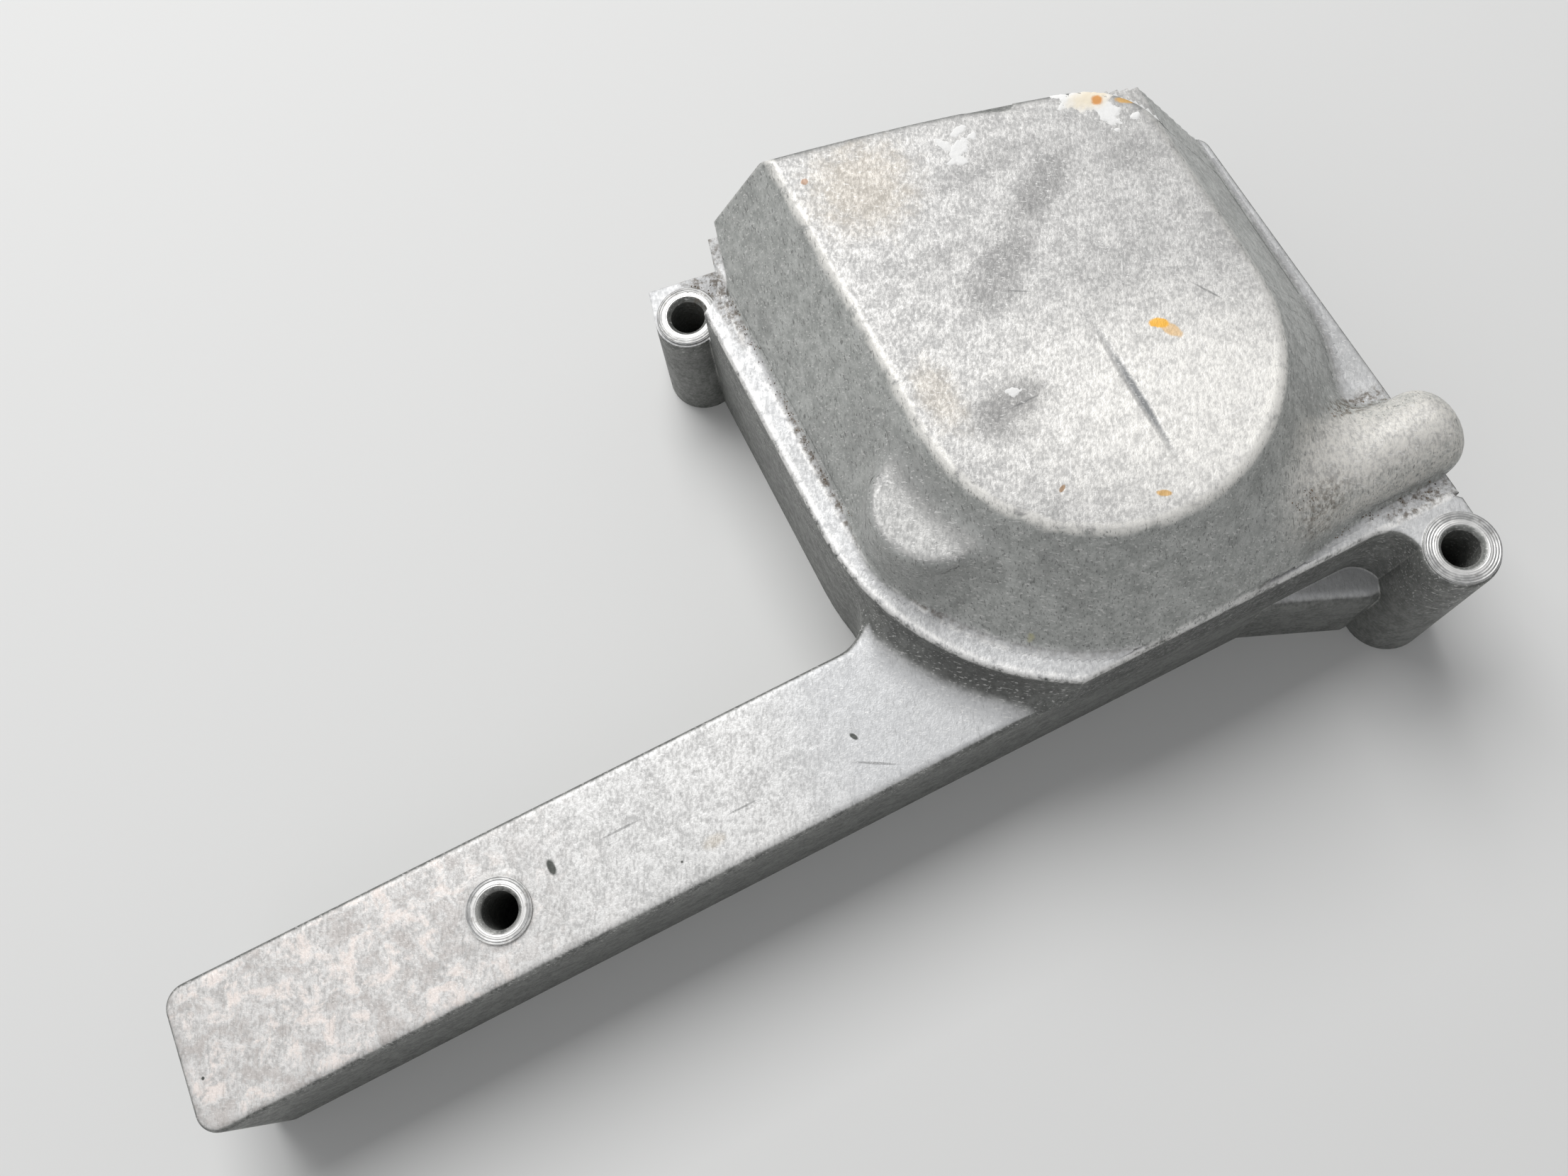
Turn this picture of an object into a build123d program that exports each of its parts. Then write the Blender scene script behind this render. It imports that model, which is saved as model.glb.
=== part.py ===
# Oil pump cover: one die-cast aluminium piece, hollow and open underneath.
#
# A U-shaped dome stands on a stepped body. A long arm leaves the body on the
# left, and a half-round housing leaves the dome at its lower right. Three
# screws hold the cover down: one through the arm, one in a pocket at the far
# left and one through a lug at the near right.
#
# Units are millimetres. Z is up, the mating face lies on z = 0, and the origin
# is on the axis of the arm's screw hole. X runs along the arm to the body.
from build123d import *
import math
import os

os.makedirs("parts", exist_ok=True)

# Heights above the mating face
arm_height = 30.0
left_lug_height = 27.0
ledge_height = 39.0
plateau_height = 60.0
blister_height = 53.0
shelf_height = 20.0

# Casting
wall = 3.5
wall_draft = 1.0
lug_draft = 1.8
edge_radius = 0.9

# Dome, with its round end centred on this point
dome_x = 126.4
dome_y = 32.5
dome_foot_radius = 44.5
dome_top_radius = 30.1
dome_edge_radius = 2.2
dome_corner_radius = 13.0

# Far wall, a wide arc that stands this far from the dome's centre
far_wall_reach = 47.6
far_wall_radius = 480.0
far_wall_bearing = 16.8

# Body, measured at the height of the ledge
left_ledge_width = 5.1
right_wall_x = 174.7
right_wall_lean = 1.5
lower_wall_y = -11.4
body_corner_radius = 3.0

# Arm, measured at its top
arm_free_end = 57.4
arm_far_side = 13.3
arm_flare = 0.5
arm_end_slant = 1.4
arm_corner_radius = 4.0
arm_edge_radius = 1.3
arm_root_radius = 7.5

# Screw holes, their raised seats and the columns round them
bore_diameter = 6.5
bore_lead_in = 0.7
seat_rise = 0.4
arm_seat_radius = 5.7
arm_boss_radius = 6.4
left_lug_x = 75.0
left_lug_y = 85.4
left_lug_radius = 6.3
left_lug_angle = 14.0
left_seat_radius = 5.9
right_lug_x = 169.4
right_lug_y = -19.8
right_lug_radius = 6.7
right_seat_radius = 6.3

# Pocket for the screw head over the left lug
pocket_radius = 7.0
pocket_rim = 1.8

# Round blister on the dome's slope
blister_radius = 11.0
blister_offset = 33.8
blister_bearing = 15.5
blister_draft = 2.5
blister_edge_radius = 2.0

# Half-round housing, with its axis at the height of the ledge
housing_radius = 7.7
housing_y = 0.2
housing_end = 179.5
housing_end_radius = 5.0

# Web between the body and the right lug
web_left_x = 163.4
web_corner_radius = 4.8

# Shelf low on the near wall, beside the right lug
shelf_start_x = 142.0
shelf_end_x = 160.0
shelf_reach = 7.5
shelf_edge_radius = 2.5

# Sizes that follow from the ones above
lean = math.tan(math.radians(wall_draft))
lug_lean = math.tan(math.radians(lug_draft))
ledge_spread = ledge_height * lean
arm_spread = arm_height * lean
body_low = lower_wall_y - ledge_spread
body_right = right_wall_x + ledge_spread
dome_rise = plateau_height - ledge_height
dome_run = dome_foot_radius - dome_top_radius
dome_taper = math.degrees(math.atan(dome_run / dome_rise))
far_angle = math.radians(far_wall_bearing)
far_depth = far_wall_radius - far_wall_reach
far_x = dome_x - far_depth * math.sin(far_angle)
far_y = dome_y - far_depth * math.cos(far_angle)
tall = plateau_height + wall
wide = 3 * dome_foot_radius


def on_circle(x, y, radius, angle):
    """Point on a circle, with the angle in radians from the X axis."""
    return (x + radius * math.cos(angle), y + radius * math.sin(angle))


def far_wall_y(x, outset):
    """Where the far wall, moved out by the outset, crosses this x."""
    return far_y + math.sqrt((far_wall_radius + outset) ** 2 - (x - far_x) ** 2)


def inside_far_wall(solid, inset):
    """The part of a solid inside the far wall, moved in by the inset."""
    disc = Pos(far_x, far_y) * Circle(far_wall_radius - inset)
    return solid & extrude(disc, tall)


def body_plan(inset):
    """Outline at the mating face, moved in by the inset and open past the far wall."""
    radius = dome_foot_radius + left_ledge_width + ledge_spread - inset
    low = body_low + inset
    high = dome_y + wide
    right = body_right - inset
    right_high = right - (high - low) * math.tan(math.radians(right_wall_lean))
    turn = math.asin((dome_y - low) / radius)
    arc_start = on_circle(dome_x, dome_y, radius, math.pi)
    arc_middle = on_circle(dome_x, dome_y, radius, math.pi + turn / 2)
    arc_end = on_circle(dome_x, dome_y, radius, math.pi + turn)
    bottom = ThreePointArc(arc_start, arc_middle, arc_end)
    sides = Polyline(
        arc_end, (right, low), (right_high, high), (dome_x - radius, high), arc_start
    )
    return make_face(Curve() + [bottom, sides])


def dome_plan(inset):
    """Outline of the dome's foot, moved in by the inset and open past the far wall."""
    radius = dome_foot_radius - inset
    left = dome_x - radius
    right = dome_x + radius
    high = dome_y + wide
    bottom = ThreePointArc((left, dome_y), (dome_x, dome_y - radius), (right, dome_y))
    sides = Polyline((right, dome_y), (right, high), (left, high), (left, dome_y))
    return make_face(Curve() + [sides, bottom])


def dome_block(inset):
    """Dome above the ledge, moved in by the inset, with its far right corner round."""
    plan = dome_plan(inset / math.cos(math.radians(dome_taper)))
    block = extrude(plan, dome_rise - inset, taper=dome_taper)
    block = inside_far_wall(Pos(0, 0, ledge_height) * block, inset)
    top_right = (dome_x + dome_foot_radius, dome_y + dome_foot_radius, plateau_height)
    corner = block.vertices().sort_by(Axis.Z)[-4:].sort_by_distance(top_right)[0]
    middle = (corner.X, corner.Y, corner.Z - dome_rise / 2)
    upright = block.edges().sort_by_distance(middle)[0]
    return fillet(upright, dome_corner_radius - inset)


def dome_foot(inset):
    """Straight foot that sinks the dome into the body."""
    block = extrude(dome_plan(inset / math.cos(math.radians(dome_taper))), wall)
    return inside_far_wall(Pos(0, 0, ledge_height - wall) * block, inset)


def slot_plan(radius, length):
    """Round end at the origin, running on to the far side."""
    run = Pos(0, length / 2) * Rectangle(2 * radius, length)
    return Circle(radius) + run


def housing_plan(radius):
    """Half circle over straight sides that reach down to the mating face."""
    sides = Pos(0, -ledge_height / 2) * Rectangle(2 * radius, ledge_height)
    return Circle(radius) + sides


# Body block, with its upright far corner rounded
body_block = extrude(body_plan(0), ledge_height, taper=wall_draft)
body = inside_far_wall(body_block, 0)
far_corner = (right_wall_x, far_wall_y(right_wall_x, 0), ledge_height / 2)
body = fillet(body.edges().sort_by_distance(far_corner)[0], body_corner_radius)

# Web from the body to the right lug, with a round inner corner
web_left = web_left_x - ledge_spread
web_start = web_left - 2 * web_corner_radius
web_high = body_low + 2 * wall
web_outline = Polyline(
    (web_start, body_low),
    (web_left, body_low),
    (web_left, right_lug_y),
    (body_right, right_lug_y),
    (body_right, body_low),
    (body_right - 2 * wall, web_high),
    (web_start, web_high),
    close=True,
)
web_plan = make_face(web_outline)
inner_corner = web_plan.vertices().sort_by_distance((web_left, body_low))[0]
web_plan = fillet(inner_corner, web_corner_radius)
web = extrude(web_plan, ledge_height, taper=wall_draft)

# Right lug, a tapered column
right_lug_base = right_lug_radius + ledge_height * lug_lean
right_lug_plan = Pos(right_lug_x, right_lug_y) * Circle(right_lug_base)
right_lug = extrude(right_lug_plan, ledge_height, taper=lug_draft)

# Arm, a little wider at its free end and running well into the body
root_left = dome_x - dome_foot_radius - left_ledge_width
arm_left = -arm_free_end - arm_spread
arm_high = arm_far_side + arm_spread
arm_plan = make_face(
    Polyline(
        (arm_left - arm_end_slant, body_low - arm_flare),
        (root_left, body_low),
        (dome_x, body_low),
        (dome_x, arm_high),
        (arm_left, arm_high),
        close=True,
    )
)
free_corners = arm_plan.vertices().sort_by(Axis.X)[:2]
arm_plan = fillet(free_corners, arm_corner_radius + arm_spread)
arm = extrude(arm_plan, arm_height, taper=wall_draft)
arm = fillet(arm.faces().sort_by(Axis.Z)[-1].edges(), arm_edge_radius)

# Round the arm's root where its side and top run into the body's wall
shell = body + web + right_lug + arm
root = shell.edges().filter_by_position(Axis.Z, -1, arm_height + 0.01)
root = root.filter_by(lambda edge: edge.bounding_box().min.X > root_left)
root = root.filter_by(lambda edge: edge.bounding_box().max.X < dome_x)
root = root.filter_by(lambda edge: edge.bounding_box().max.Z > arm_height - 2 * arm_edge_radius)
shell = fillet(root, arm_root_radius)

# Round the edge of the ledge, the web and the right lug
ledge = shell.faces().filter_by(Plane.XY).sort_by(Axis.Z)[-1]
shell = fillet(ledge.edges(), edge_radius)

# Dome, kept inside the body's own outline
dome = dome_block(0)
dome = fillet(dome.faces().sort_by(Axis.Z)[-1].edges(), dome_edge_radius)
dome += dome_foot(0)
dome &= extrude(body_plan(0), tall, taper=wall_draft)

# Blister, standing on the ledge at the edge of the dome's foot
blister_angle = math.pi + math.radians(blister_bearing)
blister_place = Pos(on_circle(dome_x, dome_y, blister_offset, blister_angle))
blister_base = blister_radius + blister_height * math.tan(math.radians(blister_draft))
blister = blister_place * extrude(Circle(blister_base), blister_height, taper=blister_draft)
blister = fillet(blister.edges().sort_by(Axis.Z)[-1], blister_edge_radius)

# Half-round housing with a rounded end
housing_length = housing_end - dome_x
housing_place = Pos(dome_x, housing_y, ledge_height)
housing = housing_place * extrude(Plane.YZ * housing_plan(housing_radius), housing_length)
end_edges = housing.faces().sort_by(Axis.X)[-1].edges()
housing = fillet(end_edges.sort_by(Axis.Z)[1:], housing_end_radius)

# Shelf on the near wall, running into the right lug
shelf_plan = make_face(
    Polyline(
        (shelf_start_x, body_low + wall),
        (shelf_start_x, body_low),
        (shelf_end_x, body_low - shelf_reach),
        (right_lug_x, body_low - shelf_reach),
        (right_lug_x, body_low + wall),
        close=True,
    )
)
shelf = extrude(shelf_plan, shelf_height, taper=wall_draft)
shelf_rim = shelf.faces().sort_by(Axis.Z)[-1].edges().sort_by(Axis.Y)[:2]
shelf = fillet(shelf_rim, shelf_edge_radius)

cover = shell + dome + blister + housing + shelf

# Pocket over the left lug, with a narrow rim of ledge beside it
left_place = Pos(left_lug_x, left_lug_y) * Rot(0, 0, -left_lug_angle)
pocket = Pos(0, 0, left_lug_height) * extrude(slot_plan(pocket_radius, wide), tall)
rim = Pos(0, 0, ledge_height) * extrude(slot_plan(pocket_radius + pocket_rim, wide), tall)
cover -= left_place * pocket
cover -= left_place * rim

# Left lug, running to the far wall
left_lug_base = left_lug_radius + left_lug_height * lug_lean
left_lug = left_place * extrude(
    slot_plan(left_lug_base, wide), left_lug_height, taper=lug_draft
)
cover += inside_far_wall(left_lug, 0)

# Machined seats round the screw holes
screw_places = [
    (0, 0, arm_height, arm_seat_radius),
    (left_lug_x, left_lug_y, left_lug_height, left_seat_radius),
    (right_lug_x, right_lug_y, ledge_height, right_seat_radius),
]
for x, y, z, radius in screw_places:
    cover += Pos(x, y, z) * extrude(Circle(radius), seat_rise)

# Space inside the body, the dome, the blister, the arm and the housing
hollow = extrude(body_plan(wall), ledge_height - wall, taper=wall_draft)
hollow = inside_far_wall(hollow, wall)
dome_space = dome_block(wall) + dome_foot(wall)
dome_space &= extrude(body_plan(wall), tall, taper=wall_draft)
blister_space = blister_place * extrude(
    Circle(blister_base - wall), blister_height - wall, taper=blister_draft
)
arm_space_plan = make_face(
    Polyline(
        (arm_left - arm_end_slant + wall, body_low - arm_flare + wall),
        (dome_x, body_low + wall),
        (dome_x, arm_high - wall),
        (arm_left + wall, arm_high - wall),
        close=True,
    )
)
arm_space = extrude(arm_space_plan, arm_height - wall, taper=wall_draft)
housing_space = housing_place * extrude(
    Plane.YZ * housing_plan(housing_radius - wall), housing_length - wall
)
hollow += dome_space + blister_space + arm_space + housing_space

# What stays solid inside: round the pocket, the left lug and the arm's boss
pocket_guard = extrude(slot_plan(pocket_radius + pocket_rim + wall, wide), tall)
hollow -= left_place * Pos(0, 0, left_lug_height - wall) * pocket_guard
hollow -= left_lug
arm_boss_base = arm_boss_radius + arm_height * lug_lean
arm_boss = extrude(Rot(0, 0, 180) * slot_plan(arm_boss_base, -body_low), arm_height, taper=lug_draft)
hollow -= arm_boss
cover -= hollow

# Screw holes with a lead-in at the seat
bore_radius = bore_diameter / 2
for x, y, z, radius in screw_places:
    depth = z + seat_rise
    hole = Pos(x, y, depth / 2) * Cylinder(bore_radius, depth)
    lead_in = Pos(x, y, depth - bore_lead_in / 2) * Cone(
        bore_radius, bore_radius + bore_lead_in, bore_lead_in
    )
    cover -= hole + lead_in

export_step(cover, "parts/pump_cover.step")
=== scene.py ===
import math

import bmesh
import bpy
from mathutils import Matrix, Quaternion, Vector, noise
from mathutils.bvhtree import BVHTree


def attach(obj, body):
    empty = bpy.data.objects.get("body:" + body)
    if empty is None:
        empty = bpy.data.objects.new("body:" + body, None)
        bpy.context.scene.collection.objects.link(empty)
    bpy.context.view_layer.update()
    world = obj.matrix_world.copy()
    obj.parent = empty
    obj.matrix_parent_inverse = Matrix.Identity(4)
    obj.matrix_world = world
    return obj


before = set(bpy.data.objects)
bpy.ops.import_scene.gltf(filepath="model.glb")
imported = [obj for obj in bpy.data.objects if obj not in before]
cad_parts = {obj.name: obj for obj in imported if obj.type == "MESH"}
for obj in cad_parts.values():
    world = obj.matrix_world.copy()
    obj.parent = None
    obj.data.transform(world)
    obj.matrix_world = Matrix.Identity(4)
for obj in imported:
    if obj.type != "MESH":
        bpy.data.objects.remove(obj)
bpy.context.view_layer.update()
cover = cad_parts["pump_cover"]

# Sizes are in millimetres in the CAD model's frame, and MM turns them into metres
MM = 0.001

# Camera, from the photograph's perspective, in metres
CAMERA_PLACE = Vector((0.05217, -0.03993, 0.2695))
CAMERA_TARGET = Vector((0.06927, 0.03682, 0.0))
CAMERA_ROLL = math.radians(-14.286)
CAMERA_LENS = 32.55
SENSOR_WIDTH = 36.0

# Studio: strength of the room's light, and of the backdrop as it is seen and mirrored
ROOM_LIGHT = 0.27
ROOM_COLOUR = (0.97, 0.98, 1.0, 1.0)
SEEN_LIGHT = 0.85
GLOSSY_SHARE = 0.5

# Lamps: name, place and width in metres, and watts; all point at one place on the cover
LAMPS = (
    ("overhead", (0.06, 0.75, 1.05), 0.8, 13.3),
    ("front_fill", (-0.6, -0.3, 0.9), 0.8, 0.9),
)
LIT_PLACE = (0.07, 0.03, 0.03)
FLOOR_REACH = 3.0

# Heights, and the dome's plan
ARM_Z = 30.0
LEDGE_Z = 39.0
PLATEAU_Z = 60.0
DOME_X, DOME_Y = 126.4, 32.5
DOME_FOOT, DOME_TOP = 44.5, 30.1
DOME_ANGLE = math.atan((DOME_FOOT - DOME_TOP) / (PLATEAU_Z - LEDGE_Z))

# The body's outline: the ledge's outer radius, the far arc, the near wall and the leaning right one
LEDGE_OUTER = 49.6
FAR_X, FAR_Y, FAR_RADIUS = 1.42, -381.44, 480.0
NEAR_WALL_Y = -11.4
RIGHT_WALL_X, RIGHT_LEAN = 174.7, 0.0262
WEB_LEFT_X = 163.0

# The left lug, and the pocket round its screw hole
LUG_X, LUG_Y = 75.0, 85.4
POCKET_TURN = math.radians(14.0)
POCKET_RADIUS = 9.2

# Blister and half-round housing, which starts inside the dome
BLISTER_X, BLISTER_Y, BLISTER_Z, BLISTER_RADIUS = 93.83, 23.47, 53.0, 11.0
BLISTER_DRAFT = math.tan(math.radians(2.5))
BLISTER_ROUNDING = 2.0
HOUSING_Y, HOUSING_RADIUS, HOUSING_START, HOUSING_END = 0.2, 7.7, 130.0, 179.5

# Widths over which the dome melts into the ledge, the blister and the housing
MELT_WIDTHS = {"Seam": 1.6, "Blister": 4.0, "Housing": 8.0}

# The melted surface: corners of its box, size of its cells, density outside the box,
# and how far it must stand proud of the casting to be kept
MELT_LOW, MELT_HIGH = Vector((79.0, -13.0, 36.0)), Vector((182.0, 92.0, 58.0))
MELT_CELL = 0.55
MELT_OUTSIDE = -5.0
LEAST_PROUD = 0.012

# Screw holes: centre, height of the seat and its radius
SEATS = (
    (0.0, 0.0, 30.4, 5.7),
    (LUG_X, LUG_Y, 27.4, 5.9),
    (169.4, -19.8, 39.4, 6.3),
)
HOLE_EDGE = 3.95

# Turned ring on a seat: rise, depth of its skirt, inner step, the grooves' depth and pitch,
# and the pitch of the tool marks in its colour
RING_RISE, RING_SKIRT = 0.10, 0.04
RING_STEP_RADIUS, RING_STEP = 4.75, 0.05
GROOVE_DEPTH, GROOVE_PITCH = 0.035, 0.55
TOOL_PITCH = 0.42
RING_ROWS, RING_TURNS = 16, 72

# Rays that lay a sheet on the casting start above it
RAY_START = 90.0
DOWN = Vector((0.0, 0.0, -1.0))

# Crumbs of dirt, and the strips that they lie on: length of a cell, places across,
# steepest climb within a cell and lowest height
CRUMBS = {"Crumbs per square mm": 3.2, "Crumb size": 0.17}
STRIP_STEP = 0.8
STRIP_SIDES = (-1.0, -0.33, 0.33, 1.0)
STRIP_CLIMB, STRIP_LOWEST = 0.9, 20.0

# A mark's ellipse takes the nearest of these stretches and turns, and hardly minds its height
STRETCHES = (1.0, 2.0, 4.0, 16.0)
TURN_STEP = 30.0
FLATTEN = 6.0

# Dark and pale tone of each kind of surface
WORN_TONES = ((0.400, 0.396, 0.388), (0.665, 0.655, 0.635))
SLOPE_TONES = ((0.355, 0.365, 0.350), (0.530, 0.540, 0.520))
# Walls: rougher cast skin, plus painted shade on the sides that face away from the lamps, which
# makes them far darker than the slopes
WALL_SKIN_AND_SHADE_TONES = ((0.120, 0.124, 0.117), (0.235, 0.240, 0.228))
LEDGE_TONES = ((0.56, 0.565, 0.57), (0.68, 0.685, 0.69))

# Tones that are laid over them
TONE = {
    # Painted shade on the blister's sides and round its foot
    "blister": (0.36, 0.365, 0.355),
    "lug": (0.20, 0.185, 0.155),
    "cloud": (0.22, 0.22, 0.215),
    "pale arm": (0.78, 0.775, 0.765),
    "brown blotch": (0.48, 0.425, 0.395),
    "pink blotch": (0.94, 0.83, 0.77),
    "smooth root": (0.545, 0.552, 0.560),
    # Painted shade where the arm's root rises to the body
    "painted root shade": (0.10, 0.10, 0.095),
    "far plateau": (0.42, 0.415, 0.405),
    "near plateau": (0.92, 0.90, 0.855),
    "housing": (0.78, 0.755, 0.70),
    # Worn rim with a painted highlight
    "rim": (0.92, 0.90, 0.85),
    "ledge edge": (0.88, 0.87, 0.85),
    "corner": (0.80, 0.79, 0.76),
    "smudge": (0.150, 0.148, 0.146),
    "warm tint": (0.46, 0.36, 0.22),
    "dent": (0.16, 0.17, 0.18),
    "dent core": (0.11, 0.12, 0.13),
    "scratch": (0.13, 0.13, 0.13),
    "shine": (0.85, 0.84, 0.82),
    "nick": (0.13, 0.13, 0.125),
    "fleck": (0.82, 0.81, 0.79),
    "pit": (0.030, 0.035, 0.028),
    "dirt": (0.105, 0.078, 0.050),
    "pore": (0.050, 0.052, 0.050),
}

# Smudges on the plateau: place, half sizes, turn and strength
SMUDGES = (
    ((110.8, 30.6, 60.0), (6.4, 2.9), -8.0, 0.62),
    ((107.5, 27.4, 60.0), (4.6, 2.0), -30.0, 0.34),
    ((119.0, 50.5, 60.0), (6.4, 4.0), 30.0, 0.46),
    ((127.0, 56.8, 60.0), (7.0, 3.4), 33.0, 0.26),
    ((134.4, 62.5, 60.0), (5.6, 3.6), 35.0, 0.50),
    ((114.0, 58.5, 60.0), (4.0, 2.6), 10.0, 0.24),
    ((126.0, 70.0, 60.0), (9.0, 3.0), -15.0, 0.26),
    ((150.0, 60.0, 60.0), (2.5, 6.0), 15.0, 0.22),
)

# Warm tints at the plateau's left and on the arm: place, half sizes and strength
WARM_TINTS = (
    ((107.9, 76.0, 60.0), (9.0, 7.0), 0.26),
    ((101.5, 37.0, 60.0), (3.5, 5.0), 0.22),
    ((37.5, -6.0, 30.0), (1.6, 1.1), 0.30),
)

# Dent on the plateau and its core: place, half sizes, turn, raggedness and softness
DENT = ((129.0, 23.0, 60.0), (0.80, 9.5), -2.0, 0.16, 0.45)
DENT_CORE = ((129.1, 21.5, 60.0), (0.50, 6.0), -2.0, 0.14, 0.5)

# Dark scratches, bright scratches and casting pits: place, half sizes and turn
DARK_SCRATCHES = (
    ((147.6, 32.9, 60.0), (0.16, 2.6), 24.0),
    ((121.5, 46.8, 60.0), (0.14, 1.6), 50.0),
    ((113.0, 29.6, 60.0), (2.6, 0.16), 12.0),
    ((97.8, 47.0, 50.0), (0.13, 3.4), -18.0),
    ((95.6, 44.5, 47.5), (0.12, 2.6), -12.0),
    ((90.2, 77.6, 49.0), (0.14, 1.6), 40.0),
    ((91.9, 77.9, 49.0), (0.14, 1.4), -35.0),
    ((67.5, -6.5, 30.0), (5.5, 0.14), -22.0),
    ((24.0, 3.0, 30.0), (6.5, 0.10), 9.0),
    ((44.0, -3.0, 30.0), (4.5, 0.10), -12.0),
)
BRIGHT_SCRATCHES = (
    ((133.6, 23.6, 60.0), (1.6, 0.13), 35.0),
    ((108.2, 20.6, 60.0), (0.13, 1.9), -14.0),
    ((113.6, 16.4, 60.0), (0.13, 1.4), -25.0),
    ((98.0, 40.0, 49.5), (0.16, 2.2), 18.0),
    ((140.6, 12.8, 60.0), (1.5, 0.13), 0.0),
    ((138.0, 43.0, 60.0), (1.2, 0.10), 60.0),
)
PITS = (
    ((10.8, 2.5, 30.0), (0.78, 1.20), -10.0),
    ((66.3, -0.8, 30.0), (0.42, 0.80), 15.0),
    ((-55.0, -2.8, 30.0), (0.30, 0.25), 0.0),
    ((76.4, 20.0, 36.5), (0.8, 0.7), 0.0),
    ((31.0, -6.6, 30.0), (0.25, 0.20), 0.0),
)

# Orange, brown and yellow stains: place, half sizes, turn, tone and strength
STAINS = (
    ((139.2, 29.6, 60.0), (1.9, 0.95), -58.0, (0.74, 0.50, 0.24), 0.8),
    ((138.1, 31.5, 60.0), (1.5, 0.80), -40.0, (0.86, 0.46, 0.05), 0.95),
    ((124.2, 6.4, 60.0), (1.1, 0.55), -30.0, (0.62, 0.36, 0.09), 0.85),
    ((110.9, 14.2, 60.0), (0.6, 0.4), 40.0, (0.30, 0.16, 0.06), 0.8),
    ((99.8, 81.5, 60.0), (0.7, 0.5), 30.0, (0.30, 0.15, 0.07), 0.75),
    ((154.0, 69.6, 59.5), (1.6, 0.8), -35.0, (0.80, 0.45, 0.10), 0.8),
    ((99.0, -1.3, 47.0), (1.1, 1.1), 0.0, (0.62, 0.58, 0.24), 0.45),
    ((114.9, 5.8, 47.5), (1.4, 1.1), 0.0, (0.50, 0.42, 0.22), 0.30),
)

# White crust at the far corner, and flecks: x, y, half sizes and turn of each lump
CORNER_LUMPS = (
    (148.4, 72.8, 4.4, 2.3, -22.0),
    (150.2, 69.0, 1.6, 3.6, 5.0),
    (144.4, 75.8, 1.2, 0.7, -10.0),
    (153.6, 66.0, 0.8, 0.6, 0.0),
)
FLECK_LUMPS = (
    (125.2, 74.6, 2.6, 1.3, 30.0),
    (123.4, 76.2, 0.8, 1.5, 20.0),
    (126.9, 77.7, 1.5, 0.8, 10.0),
    (128.3, 75.7, 0.9, 0.8, 0.0),
    (124.6, 72.6, 0.9, 1.2, 0.0),
    (112.2, 31.9, 1.3, 0.7, -20.0),
)

# Thickness of a crust and the size of its sheet's cells; its margin round the lumps, in their
# half sizes, and the steepest climb within a cell
CORNER_THICKNESS, CORNER_CELL = 0.16, 0.22
FLECK_THICKNESS, FLECK_CELL = 0.10, 0.14
CRUST_MARGIN, CRUST_CLIMB = 1.8, 1.2

# Strips that the crumbs are strewn on: x, y and half width along each
GRIME_PATHS = (
    ((81.6, 84.5, 0.9), (81.8, 70.0, 0.8), (81.8, 55.0, 0.6), (81.8, 38.0, 0.4), (83.0, 22.0, 0.3)),
    ((78.0, 88.0, 2.2), (81.0, 91.0, 2.2)),
    ((79.0, 82.5, 1.0), (80.5, 86.0, 1.5)),
    ((160.5, 8.9, 0.9), (172.5, 8.9, 0.9)),
    ((161.5, -8.6, 0.8), (172.5, -8.9, 1.3)),
    ((150.0, -8.4, 0.8), (161.0, -8.4, 0.6)),
    ((145.0, -2.5, 1.4), (150.0, -2.0, 1.2)),
)


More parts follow.
